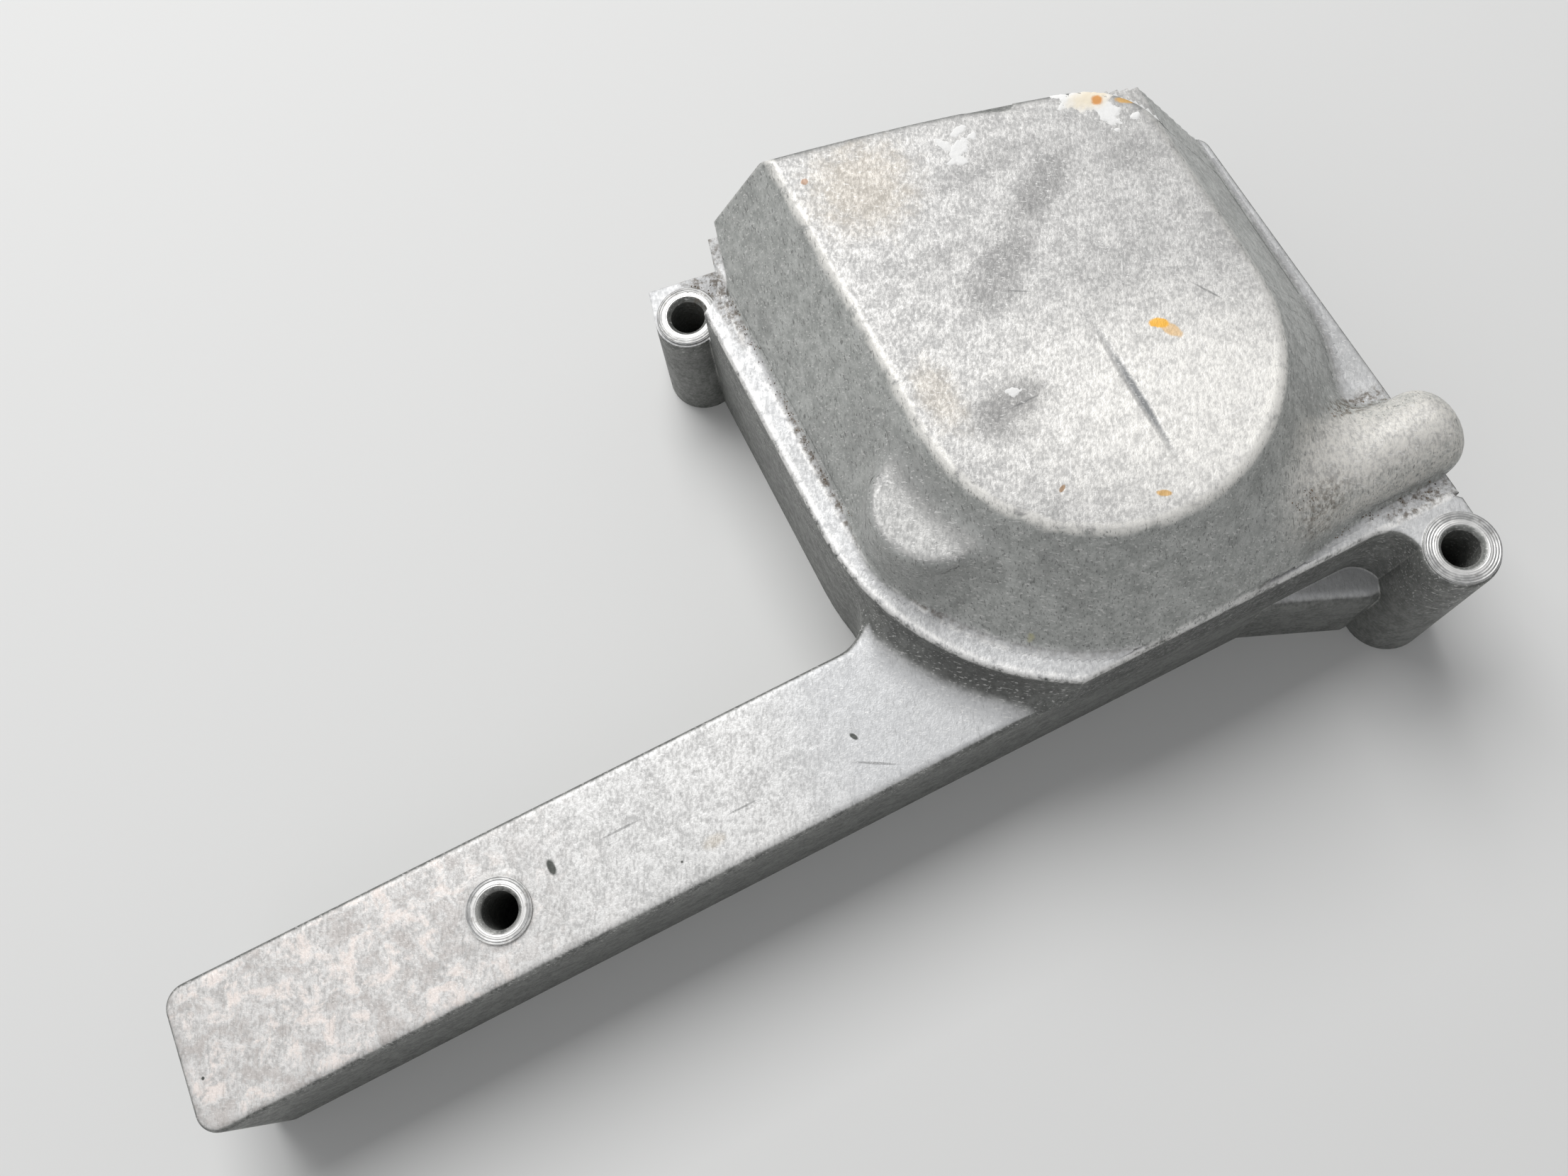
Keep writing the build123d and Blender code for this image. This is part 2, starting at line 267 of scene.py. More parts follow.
class Sketch:
    """Short ways to add nodes to one node tree, for shaders or for geometry."""

    def __init__(self, tree):
        self.nodes = tree.nodes
        self.links = tree.links
        self.frames = {}

    def put(self, socket, value):
        """Link another node's output to a socket, or give it a value."""
        if isinstance(value, bpy.types.NodeSocket):
            self.links.new(value, socket)
        elif socket.type == "RGBA" and len(value) == 3:
            socket.default_value = (*value, 1.0)
        else:
            socket.default_value = value

    def math(self, operation, *values):
        node = self.nodes.new("ShaderNodeMath")
        node.operation = operation
        for socket, value in zip(node.inputs, values):
            self.put(socket, value)
        return node.outputs[0]

    def add(self, *values):
        total = values[0]
        for value in values[1:]:
            total = self.math("ADD", total, value)
        return total

    def less(self, first, second):
        return self.math("SUBTRACT", first, second)

    def times(self, *values):
        total = values[0]
        for value in values[1:]:
            total = self.math("MULTIPLY", total, value)
        return total

    def length(self, first, second):
        return self.math("SQRT", self.add(self.times(first, first), self.times(second, second)))

    def vector(self, operation, first, second=None, scale=None):
        node = self.nodes.new("ShaderNodeVectorMath")
        node.operation = operation
        self.put(node.inputs[0], first)
        if second is not None:
            self.put(node.inputs[1], second)
        if scale is not None:
            self.put(node.inputs["Scale"], scale)
        return node.outputs["Value" if operation in ("LENGTH", "DISTANCE") else "Vector"]

    def split(self, vector):
        node = self.nodes.new("ShaderNodeSeparateXYZ")
        self.put(node.inputs[0], vector)
        return node.outputs

    def step(self, value, low, high):
        """Smooth rise from 0 at low to 1 at high, or a fall where low is the larger."""
        node = self.nodes.new("ShaderNodeMapRange")
        node.interpolation_type = "SMOOTHSTEP"
        self.put(node.inputs["Value"], value)
        node.inputs["From Min"].default_value = min(low, high)
        node.inputs["From Max"].default_value = max(low, high)
        node.inputs["To Min"].default_value = 1.0 if low > high else 0.0
        node.inputs["To Max"].default_value = 0.0 if low > high else 1.0
        return node.outputs["Result"]

    def band(self, value, centre, half, soft):
        """1 within half of the centre, falling to 0 over the soft width."""
        return self.step(self.math("ABSOLUTE", self.less(value, centre)), half + soft, half)

    def mix(self, factor, first, second):
        """Colour that goes from the first to the second."""
        node = self.nodes.new("ShaderNodeMix")
        node.data_type = "RGBA"
        self.put(node.inputs[0], factor)
        self.put(node.inputs[6], first)
        self.put(node.inputs[7], second)
        return node.outputs[2]

    def noise(self, vector, size, detail=3.0, rough=0.55, distort=0.0):
        """Noise whose features are about this many millimetres across."""
        node = self.nodes.new("ShaderNodeTexNoise")
        self.put(node.inputs["Vector"], vector)
        node.inputs["Scale"].default_value = 1.0 / size
        node.inputs["Detail"].default_value = detail
        node.inputs["Roughness"].default_value = rough
        node.inputs["Distortion"].default_value = distort
        return node.outputs[0]

    def mapping(self, vector, place=(0, 0, 0), turn=0.0, stretch=(1, 1, 1)):
        """Coordinates from a place, turned by degrees about Z and divided by the stretch."""
        node = self.nodes.new("ShaderNodeMapping")
        node.vector_type = "TEXTURE"
        self.put(node.inputs["Vector"], vector)
        node.inputs["Location"].default_value = place
        node.inputs["Rotation"].default_value = (0.0, 0.0, math.radians(turn))
        node.inputs["Scale"].default_value = stretch
        return node.outputs[0]

    def spot(self, vector, place, size, turn=0.0, ragged=0.0, soft=0.3):
        """1 inside an ellipse round a place, with a soft edge that can be ragged.

        Ellipses that are stretched and turned alike share one set of coordinates,
        because Cycles has room for only so many in one material.
        """
        long_way, short_way = size
        if short_way > long_way:
            long_way, short_way, turn = short_way, long_way, turn + 90.0
        ratio = min(STRETCHES, key=lambda stretch: abs(math.log(stretch * short_way / long_way)))
        turn = 0.0 if ratio == 1.0 else TURN_STEP * round(turn / TURN_STEP) % 180.0
        if (ratio, turn) not in self.frames:
            stretch = (ratio, 1.0, FLATTEN)
            self.frames[ratio, turn] = self.mapping(vector, turn=turn, stretch=stretch)
        angle = math.radians(turn)
        x, y, z = place
        along = (x * math.cos(angle) + y * math.sin(angle)) / ratio
        aside = y * math.cos(angle) - x * math.sin(angle)
        radius = math.sqrt(long_way * short_way / ratio)
        far = self.vector("DISTANCE", self.frames[ratio, turn], (along, aside, z / FLATTEN))
        if ragged:
            far = self.add(far, self.times(self.torn, ragged * radius))
        return self.step(far, radius * (1.0 + soft), radius * (1.0 - soft))


def new_material(name):
    """Empty material with its sketch and its place in millimetres.

    The sketch also holds the facing direction and one ragged noise for all spots.
    """
    material = bpy.data.materials.new(name)
    material.use_nodes = True
    material.node_tree.nodes.clear()
    s = Sketch(material.node_tree)
    coords = s.nodes.new("ShaderNodeTexCoord")
    p = s.vector("SCALE", coords.outputs["Object"], scale=1.0 / MM)
    s.facing = coords.outputs["Normal"]
    s.torn = s.times(s.less(s.noise(p, 1.9, 5.0, 0.66), 0.5), 3.2)
    return material, s, p


def finish_material(s, colour, rough, height=None, depth=0.0, metal=0.5, normal=None):
    """Add the shader, with a bump of this depth in millimetres."""
    shader = s.nodes.new("ShaderNodeBsdfPrincipled")
    shader.inputs["Metallic"].default_value = metal
    s.put(shader.inputs["Base Color"], colour)
    s.put(shader.inputs["Roughness"], rough)
    if height is not None:
        bump = s.nodes.new("ShaderNodeBump")
        bump.inputs["Strength"].default_value = 1.0
        bump.inputs["Distance"].default_value = depth * MM
        s.put(bump.inputs["Height"], height)
        if normal is not None:
            s.put(bump.inputs["Normal"], normal)
        s.put(shader.inputs["Normal"], bump.outputs["Normal"])
    output = s.nodes.new("ShaderNodeOutputMaterial")
    s.put(output.inputs["Surface"], shader.outputs[0])


def rounded_edges(s, radius):
    """Normal with each sharp edge rounded by this many millimetres, and a mask of the edges."""
    bevel = s.nodes.new("ShaderNodeBevel")
    bevel.samples = 4
    s.put(bevel.inputs["Radius"], s.times(radius, MM))
    plain = s.nodes.new("ShaderNodeNewGeometry").outputs["Normal"]
    apart = s.vector("LENGTH", s.vector("SUBTRACT", bevel.outputs[0], plain))
    return bevel.outputs[0], s.step(apart, 0.12, 0.42)


def dome_distance(s, x, y):
    """Distance from the dome's centre line, measured square to its U-shaped outline."""
    across = s.less(x, DOME_X)
    below = s.math("MINIMUM", s.less(y, DOME_Y), 0.0)
    return s.length(across, below)


class CastAluminium:
    """Die-cast aluminium: pale worn tops, smooth darker slopes, bright edges, stains and marks,
    with painted shade on the walls, round the blister and at the arm's root, and a painted
    highlight on the plateau's rim.

    Each step lays its tones over those of the steps before it.
    """

    def __init__(self):
        self.material, self.s, self.p = new_material("cast_aluminium_worn")
        self.x, self.y, self.z = self.s.split(self.p)
        self.up = self.s.split(self.s.facing)[2]
        self.u = dome_distance(self.s, self.x, self.y)
        self.find_surfaces()
        self.find_wear()
        self.lay_skin()
        self.lay_arm()
        self.lay_dome()
        torn = self.pale(0.45, 0.36, 0.56)
        self.rub_and_highlight_rim(torn)
        self.rub_edges(torn)
        self.smudge()
        self.scratch()
        self.nick()
        self.pit_and_stain()
        self.lay_dirt()
        self.lay_pores()
        self.finish()

    def lay(self, tone, *masks):
        """Lay a tone over the colour, as strongly as all the masks together let it."""
        self.colour = self.s.mix(self.s.times(*masks), self.colour, tone)

    def pale(self, share, low, high):
        """Mask of the paler skin, from a share of the fine speckle and the rest of the mottle."""
        s = self.s
        blend = s.add(s.times(self.speckle, share), s.times(self.mottle, 1.0 - share))
        return s.step(blend, low, high)

    def any_spot(self, marks, ragged, soft):
        """1 inside any of these marks."""
        whole = None
        for place, size, turn in marks:
            spot = self.s.spot(self.p, place, size, turn, ragged, soft)
            whole = spot if whole is None else self.s.math("MAXIMUM", whole, spot)
        return whole

    def find_surfaces(self):
        """Masks of the plateau, the dome's slopes, all that lies flat, the ledge and the arm."""
        s, z = self.s, self.z
        self.plateau = s.step(z, PLATEAU_Z - 1.4, PLATEAU_Z - 0.4)
        self.slope = s.times(
            s.step(z, LEDGE_Z - 0.1, LEDGE_Z + 0.6),
            s.step(self.u, DOME_TOP - 2.0, DOME_TOP + 0.6),
            s.step(self.up, 0.9, 0.8),
        )
        self.flat = s.step(self.up, 0.72, 0.98)
        self.ledge = s.times(self.flat, s.band(z, LEDGE_Z, 0.8, 0.5))
        self.arm = s.times(self.flat, s.step(z, ARM_Z + 3.0, ARM_Z + 1.0))

    def find_wear(self):
        """Speckle, mottle and broad clouds of the worn skin, and its rounded corners."""
        s, p = self.s, self.p
        brushed = s.mapping(p, turn=62.0, stretch=(1.5, 1.0, 1.0))
        self.speckle = s.noise(brushed, 0.6, 3.0, 0.65)
        self.mottle = s.noise(p, 2.6, 4.0, 0.6, 0.4)
        on_arm = s.times(s.step(self.x, 82.0, 74.0), s.step(self.y, 14.0, 8.0))
        radius = s.add(0.5, s.times(on_arm, 1.3), s.times(s.step(self.z, 55.0, 57.0), 0.6))
        self.soft_normal, self.corner = rounded_edges(s, radius)
        self.cloud = s.noise(p, 16.0, 4.0, 0.55, 0.5)
        self.fine = s.noise(p, 0.28, 2.0, 0.5)

    def lay_skin(self):
        """Walls, slopes and flat tops, then the ledge, the blister, the lug and the clouds; the
        walls and the blister's foot carry painted shade.
        """
        s, p, z = self.s, self.p, self.z
        self.light = self.pale(0.62, 0.38, 0.64)
        worn = s.mix(self.light, *WORN_TONES)
        slopes = s.mix(self.pale(0.4, 0.36, 0.64), *SLOPE_TONES)
        # Surfaces that face sideways start from the wall tones: partly rough cast skin, partly
        # painted shade
        self.colour = s.mix(self.pale(0.5, 0.36, 0.64), *WALL_SKIN_AND_SHADE_TONES)
        self.lay(slopes, self.slope)
        self.lay(worn, self.flat)
        self.lay(s.mix(self.light, *LEDGE_TONES), self.ledge, 0.75)
        # Painted shade: the blister's sides and the slope round its foot are darkened below its lit
        # top
        blister = s.spot(p, (BLISTER_X, BLISTER_Y, 52.5), (13.0, 13.0), soft=0.1)
        self.lay(TONE["blister"], blister, s.step(z, 58.0, 56.0), 0.40)
        lug = s.spot(p, (77.5, 87.0, 27.5), (8.5, 8.5), 0.0, 0.6, 0.5)
        self.lay(TONE["lug"], lug, s.step(z, 31.0, 29.5), self.flat, 0.5)
        self.lay(TONE["cloud"], s.step(self.cloud, 0.48, 0.66), 0.22)

    def lay_arm(self):
        """Pale arm with a blotched free end, and a smooth root with painted shade where it rises.
        """
        s, p, z = self.s, self.p, self.z
        self.lay(TONE["pale arm"], self.arm, s.add(0.25, s.times(self.light, 0.5)))
        blotch = s.noise(p, 4.5, 5.0, 0.68, 0.4)
        free_end = s.times(self.arm, s.step(self.x, 25.0, -20.0))
        self.lay(TONE["brown blotch"], free_end, s.step(blotch, 0.46, 0.62), 0.50)
        self.lay(TONE["pink blotch"], free_end, s.step(blotch, 0.52, 0.36), 0.65)
        self.lay(TONE["smooth root"], self.arm, s.step(self.x, 45.0, 70.0), 0.75)
        # Painted shade on the concave rise at the arm's root, which faces away from the lamp
        root = s.spot(p, (88.0, -1.5, 33.5), (13.0, 4.0), -38.0, 0.35, 0.6)
        self.lay(TONE["painted root shade"], root, s.step(z, 30.4, 32.5), s.step(z, 38.6, 37.0), 0.5)

    def lay_dome(self):
        """Darker far half and paler near corner of the plateau, and the pale housing."""
        s, p, z = self.s, self.p, self.z
        far_half = s.spot(p, (126.0, 73.0, 60.0), (40.0, 26.0), 0.0, 0.25, 0.7)
        self.lay(TONE["far plateau"], far_half, self.plateau, 0.20)
        near_corner = s.spot(p, (141.0, 14.0, 60.0), (27.0, 19.0), -30.0, 0.30, 0.7)
        strength = s.add(0.4, s.times(self.light, 0.55))
        self.lay(TONE["near plateau"], near_corner, self.plateau, strength)
        on_housing = s.times(
            s.step(self.x, 138.0, 150.0),
            s.step(z, 40.0, 42.5),
            s.step(z, 55.0, 49.0),
            s.band(self.y, 0.5, 6.5, 3.0),
        )
        self.lay(TONE["housing"], on_housing, s.add(0.30, s.times(self.light, 0.6)))

    def rub_and_highlight_rim(self, torn):
        """The plateau's rim rubbed bright and given a painted highlight, less on its right and
        broadest at its near right.
        """
        s, u = self.s, self.u
        wander = s.times(s.less(s.noise(self.p, 5.0, 3.0, 0.6), 0.5), 1.5)
        rim = s.times(
            s.band(s.add(u, wander), DOME_TOP - 0.1, 0.40, 0.8),
            s.step(self.z, 58.0, 59.0),
            s.step(self.mottle, 0.30, 0.48),
        )
        right = s.times(s.step(self.x, 132.0, 150.0), s.step(self.y, 6.0, 22.0))
        rim = s.times(
            rim,
            s.add(0.65, s.times(self.light, 0.35)),
            s.less(1.0, s.times(right, 0.6)),
        )
        broad = s.times(
            s.spot(self.p, (147.0, 10.5, 60.0), (9.0, 9.0), 0.0, 0.3, 0.5),
            s.band(u, DOME_TOP - 0.8, 0.8, 1.6),
            self.plateau,
            torn,
        )
        # Worn metal along the rim, together with a painted highlight
        self.lay(TONE["rim"], s.math("MAXIMUM", rim, broad), 0.85)

    def rub_edges(self, torn):
        """The ledge's outer edge, a line along its seam, the near edge and the outer corners."""
        s, x, z, u = self.s, self.x, self.z, self.u
        outer_edge = s.times(
            s.band(u, LEDGE_OUTER - 0.5, 0.45, 0.9),
            s.step(z, 37.9, 38.6),
            s.step(x, 128.0, 120.0),
        )
        seam_line = s.times(
            s.band(u, DOME_FOOT + 1.2, 0.15, 0.45),
            s.band(z, LEDGE_Z, 0.5, 0.4),
            s.step(x, 104.0, 92.0),
            s.step(self.mottle, 0.36, 0.52),
        )
        ledge_edge = s.math("MAXIMUM", outer_edge, s.times(seam_line, 0.8))
        near_edge = s.times(
            s.band(self.y, NEAR_WALL_Y + 0.2, 0.35, 0.5),
            s.step(z, 37.9, 38.6),
            s.step(x, 98.0, 103.0),
        )
        self.lay(TONE["ledge edge"], s.math("MAXIMUM", ledge_edge, near_edge), torn, 0.85)
        above = s.step(z, 6.0, 16.0)
        self.lay(TONE["corner"], self.corner, torn, above, s.step(self.up, -0.4, 0.1), 0.60)

    def smudge(self):
        for place, size, turn, strength in SMUDGES:
            smudge = self.s.spot(self.p, place, size, turn, 0.55, 0.6)
            self.lay(TONE["smudge"], smudge, self.plateau, strength)
        for place, size, strength in WARM_TINTS:
            tint = self.s.spot(self.p, place, size, 0.0, 0.5, 0.6)
            self.lay(TONE["warm tint"], tint, self.flat, strength)

    def scratch(self):
        """Long dark dent, dark scratches and bright ones."""
        self.dent = self.s.spot(self.p, *DENT)
        core = self.s.spot(self.p, *DENT_CORE)
        self.lay(TONE["dent"], self.dent, self.plateau, 0.45)
        self.lay(TONE["dent core"], core, self.plateau, 0.6)
        self.lay(TONE["scratch"], self.any_spot(DARK_SCRATCHES, 0.0, 0.4), 0.55)
        self.lay(TONE["shine"], self.any_spot(BRIGHT_SCRATCHES, 0.0, 0.4), 0.7)

    def nick(self):
        """Fine dark nicks, most of them on the slopes, and bright flecks on the upper parts."""
        s = self.s
        nick_place = s.mapping(self.p, (3.0, 1.0, 0.0), 70.0, (2.4, 0.5, 1.0))
        nick = s.step(s.noise(nick_place, 0.55, 2.0, 0.5), 0.60, 0.66)
        self.lay(TONE["nick"], nick, s.add(0.20, s.times(self.slope, 0.40)))
        fleck_place = s.mapping(self.p, (9.0, 5.0, 2.0), -35.0, (1.9, 0.6, 1.0))
        fleck = s.step(s.noise(fleck_place, 0.50, 2.0, 0.5), 0.61, 0.67)
        self.lay(TONE["fleck"], fleck, s.step(self.z, 20.0, 28.0), 0.5)

    def pit_and_stain(self):
        self.lay(TONE["pit"], self.any_spot(PITS, 0.15, 0.25), 0.92)
        for place, size, turn, tone, strength in STAINS:
            self.lay(tone, self.s.spot(self.p, place, size, turn, 0.35, 0.2), strength)

    def lay_dirt(self):
        """Brown dirt in the seams, the pocket and beside the housing."""
        s, p, z, u = self.s, self.p, self.z, self.u
        clumps = s.step(s.noise(p, 1.1, 4.0, 0.65), 0.42, 0.62)
        dirt = s.times(
            s.band(u, DOME_FOOT + 0.4, 0.3, 0.7),
            s.band(z, LEDGE_Z, 0.4, 0.5),
            s.step(self.y, 66.0, 45.0),
            s.add(0.25, s.times(s.step(self.x, 92.0, 84.0), 0.75)),
        )
        far_seam = s.times(
            s.band(u, DOME_FOOT + 0.8, 0.9, 1.6),
            s.band(z, LEDGE_Z, 0.5, 0.6),
            s.step(self.y, 66.0, 76.0),
        )
        pocket = s.times(
            s.spot(p, (81.5, 89.5, 30.0), (5.0, 5.0), 0.0, 0.4, 0.5),
            s.step(z, 42.0, 38.0),
        )
        behind_housing = s.spot(p, (166.5, 9.6, 39.5), (7.0, 2.4), 0.0, 0.5, 0.5)
        on_web = s.spot(p, (168.0, -9.6, 39.2), (6.5, 2.2), 0.0, 0.5, 0.5)
        junction = s.spot(p, (150.5, -4.0, 41.0), (5.0, 3.0), 30.0, 0.6, 0.6)
        for patch in (far_seam, pocket, behind_housing, on_web, s.times(junction, 0.8)):
            dirt = s.math("MAXIMUM", dirt, patch)
        self.lay(TONE["dirt"], dirt, clumps, 0.75)
        self.dirt = dirt

    def lay_pores(self):
        """Dark cast texture on the near wall."""
        s, x, z = self.s, self.x, self.z
        self.near_rough = s.times(
            s.step(self.y, -10.9, -11.3),
            s.step(z, 38.4, 37.0),
            s.step(z, 18.0, 27.0),
            s.step(x, 98.0, 108.0),
            s.step(x, 160.0, 146.0),
        )
        self.pores = s.step(s.noise(self.p, 0.8, 3.0, 0.7), 0.46, 0.56)
        self.lay(TONE["pore"], self.near_rough, self.pores, 0.65)

    def finish(self):
        """Bump from the skin, the dent and the pores, and a shader that is duller in the dirt."""
        s = self.s
        height = s.add(
            s.times(self.speckle, 0.55),
            s.times(self.fine, 0.25),
            s.times(self.mottle, 0.6),
        )
        height = s.less(height, s.times(self.dent, self.plateau, 1.4))
        height = s.less(height, s.times(self.near_rough, self.pores, 1.6))
        dull = s.times(s.less(1.0, self.light), 0.14)
        rough = s.add(0.44, dull, s.times(self.dirt, 0.25))
        finish_material(
            s, self.colour, rough, height, depth=0.10, metal=0.35, normal=self.soft_normal
        )


def turned_material():
    """Turned face of a screw seat: concentric tool marks round each hole."""
    material, s, p = new_material("turned_aluminium")
    x, y = s.split(p)[:2]
    nearest = None
    for seat_x, seat_y in [seat[:2] for seat in SEATS]:
        far = s.length(s.less(x, seat_x), s.less(y, seat_y))
        nearest = far if nearest is None else s.math("MINIMUM", nearest, far)
    rings = s.math("SINE", s.times(nearest, 2.0 * math.pi / TOOL_PITCH))
    worn = s.noise(p, 1.4, 3.0, 0.6)
    tone = s.add(s.times(rings, 0.10), s.times(worn, 0.9))
    colour = s.mix(s.step(tone, 0.25, 0.70), (0.36, 0.36, 0.355), (0.68, 0.675, 0.66))
    inner = s.step(nearest, 5.0, 4.7)
    colour = s.mix(s.times(inner, 0.65), colour, (0.82, 0.81, 0.79))
    grime = s.step(s.noise(p, 1.2, 3.0, 0.6), 0.58, 0.68)
    colour = s.mix(s.times(grime, 0.4), colour, (0.16, 0.14, 0.12))
    rough = s.add(0.34, s.times(worn, 0.2))
    finish_material(s, colour, rough, rings, depth=0.03, metal=0.7)
    return material


def crust_material():
    """Chalky white corrosion with a rusty heart."""
    material, s, p = new_material("white_corrosion")
    chalk = s.noise(p, 0.7, 3.0, 0.6)
    colour = s.mix(chalk, (0.86, 0.855, 0.84), (0.96, 0.955, 0.94))
    rust = s.spot(p, (149.7, 71.7, 60.0), (0.9, 0.9), 0.0, 0.3, 0.3)
    halo = s.spot(p, (149.2, 72.6, 60.0), (3.2, 2.2), -15.0, 0.4, 0.6)
    colour = s.mix(s.times(halo, 0.55), colour, (0.88, 0.72, 0.44))
    colour = s.mix(s.times(rust, 0.9), colour, (0.72, 0.30, 0.06))
    finish_material(s, colour, 0.85, chalk, depth=0.06, metal=0.0)
    return material


def grime_material():
    """Dry brown dirt."""
    material, s, p = new_material("dry_grime")
    tone = s.noise(p, 1.5, 2.0, 0.5)
    colour = s.mix(s.step(tone, 0.35, 0.65), (0.050, 0.036, 0.024), (0.21, 0.15, 0.095))
    finish_material(s, colour, 0.9, tone, depth=0.05, metal=0.0)
    return material


def add_piece(name, mesh, material):
    """Finished piece on the casting's body, at the origin and smooth."""
    piece = bpy.data.objects.new(name, mesh)
    bpy.context.scene.collection.objects.link(piece)
    mesh.materials.clear()
    mesh.materials.append(material)
    for polygon in mesh.polygons:
        polygon.use_smooth = True
    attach(piece, "root")


def mesh_from(name, corners, faces):
    """Mesh in metres from corners in millimetres."""
    mesh = bpy.data.meshes.new(name)
    mesh.from_pydata([Vector(corner) * MM for corner in corners], [], faces)
    mesh.validate()
    return mesh


def delete_loose(work):
    """Delete the points that no face uses."""
    loose = [vert for vert in work.verts if not vert.link_faces]
    bmesh.ops.delete(work, geom=loose, context="VERTS")


def drop_onto(skins, x, y):
    """Highest place on the skins at x, y and its normal, in metres, or None where none is met."""
    start = Vector((x, y, RAY_START)) * MM
    place, normal = None, None
    for skin in skins:
        hit, facing = skin.ray_cast(start, DOWN)[:2]
        if hit is not None and (place is None or hit.z > place.z):
            place, normal = hit, facing
    return place, normal


def height_span(corners, face):
    """Lowest and highest corner of a face."""
    heights = [corners[i][2] for i in face]
    return min(heights), max(heights)


def new_growth(name, sizes):
    """Empty geometry tree with these inputs, its sketch, its entry and its place in millimetres."""
    tree = bpy.data.node_groups.new(name, "GeometryNodeTree")
    tree.interface.new_socket("Geometry", in_out="INPUT", socket_type="NodeSocketGeometry")
    for label, value in sizes.items():
        socket = tree.interface.new_socket(label, in_out="INPUT", socket_type="NodeSocketFloat")
        socket.default_value = value
    tree.interface.new_socket("Geometry", in_out="OUTPUT", socket_type="NodeSocketGeometry")
    s = Sketch(tree)
    entry = s.nodes.new("NodeGroupInput").outputs
    position = s.nodes.new("GeometryNodeInputPosition").outputs[0]
    return tree, s, entry, s.vector("SCALE", position, scale=1.0 / MM)


def finish_growth(s, geometry, material):
    """End a geometry tree with Realize Instances and Set Material."""
    real = s.nodes.new("GeometryNodeRealizeInstances")
    s.put(real.inputs[0], geometry)
    paint = s.nodes.new("GeometryNodeSetMaterial")
    s.put(paint.inputs["Geometry"], real.outputs[0])
    paint.inputs["Material"].default_value = material
    leave = s.nodes.new("NodeGroupOutput")
    s.put(leave.inputs[0], paint.outputs[0])


def grow(tree, name, sizes, start=None):
    """Run a geometry tree, on a mesh where it needs one, and return the plain mesh it makes."""
    host = bpy.data.objects.new(name, start or bpy.data.meshes.new(name))
    bpy.context.scene.collection.objects.link(host)
    modifier = host.modifiers.new("grow", "NODES")
    modifier.node_group = tree
    for item in tree.interface.items_tree:
        if item.in_out == "INPUT" and item.name in sizes:
            modifier[item.identifier] = sizes[item.name]
    view = bpy.context.evaluated_depsgraph_get()
    mesh = bpy.data.meshes.new_from_object(host.evaluated_get(view))
    host.modifiers.clear()
    bpy.data.objects.remove(host)
    return mesh


# Soft cast corners where the dome, blister, housing and ledge run together

def blister_distance(s, x, y, z):
    """Distance out from an upright drum with a rounded top edge."""
    drum = s.less(s.length(s.less(x, BLISTER_X), s.less(y, BLISTER_Y)), BLISTER_RADIUS)
    drum = s.less(drum, s.times(s.less(BLISTER_Z, z), BLISTER_DRAFT))
    top = s.less(z, BLISTER_Z)
    side, over = s.add(drum, BLISTER_ROUNDING), s.add(top, BLISTER_ROUNDING)
    corner = s.length(s.math("MAXIMUM", side, 0.0), s.math("MAXIMUM", over, 0.0))
    inner = s.math("MINIMUM", s.math("MAXIMUM", side, over), 0.0)
    return s.less(s.add(corner, inner), BLISTER_ROUNDING)


def melt(s, first, second, width):
    """Smooth smaller of two distances."""
    gap = s.math("ABSOLUTE", s.less(first, second))
    near = s.math("MAXIMUM", s.less(1.0, s.math("DIVIDE", gap, width)), 0.0)
    return s.less(s.math("MINIMUM", first, second), s.times(near, near, width, 0.25))


def soft_corner_tree(material):
    """Geometry nodes: the surface of the four forms melted together."""
    tree, s, entry, p = new_growth("soft_cast_corners", MELT_WIDTHS)
    x, y, z = s.split(p)
    slope = s.less(dome_distance(s, x, y), DOME_FOOT)
    slope = s.add(slope, s.times(s.less(z, LEDGE_Z), math.tan(DOME_ANGLE)))
    dome = s.times(slope, math.cos(DOME_ANGLE))
    ledge = s.less(z, LEDGE_Z)
    lift = s.math("MAXIMUM", ledge, 0.0)
    tube = s.less(s.length(s.less(y, HOUSING_Y), lift), HOUSING_RADIUS)
    housing = s.math("MAXIMUM", tube, s.less(x, HOUSING_END))
    housing = s.math("MAXIMUM", housing, s.less(HOUSING_START, x))
    blister = blister_distance(s, x, y, z)

    whole = melt(s, dome, housing, entry["Housing"])
    whole = melt(s, whole, blister, entry["Blister"])
    whole = melt(s, whole, ledge, entry["Seam"])

    box = s.nodes.new("GeometryNodeVolumeCube")
    s.put(box.inputs["Density"], s.times(whole, -1.0))
    box.inputs["Background"].default_value = MELT_OUTSIDE
    box.inputs["Min"].default_value = MELT_LOW * MM
    box.inputs["Max"].default_value = MELT_HIGH * MM
    cells = (MELT_HIGH - MELT_LOW) / MELT_CELL
    for label, count in zip(("Resolution X", "Resolution Y", "Resolution Z"), cells):
        box.inputs[label].default_value = int(count)
    shell = s.nodes.new("GeometryNodeVolumeToMesh")
    s.put(shell.inputs["Volume"], box.outputs[0])
    shell.inputs["Threshold"].default_value = 0.0
    finish_growth(s, shell.outputs[0], material)
    return tree


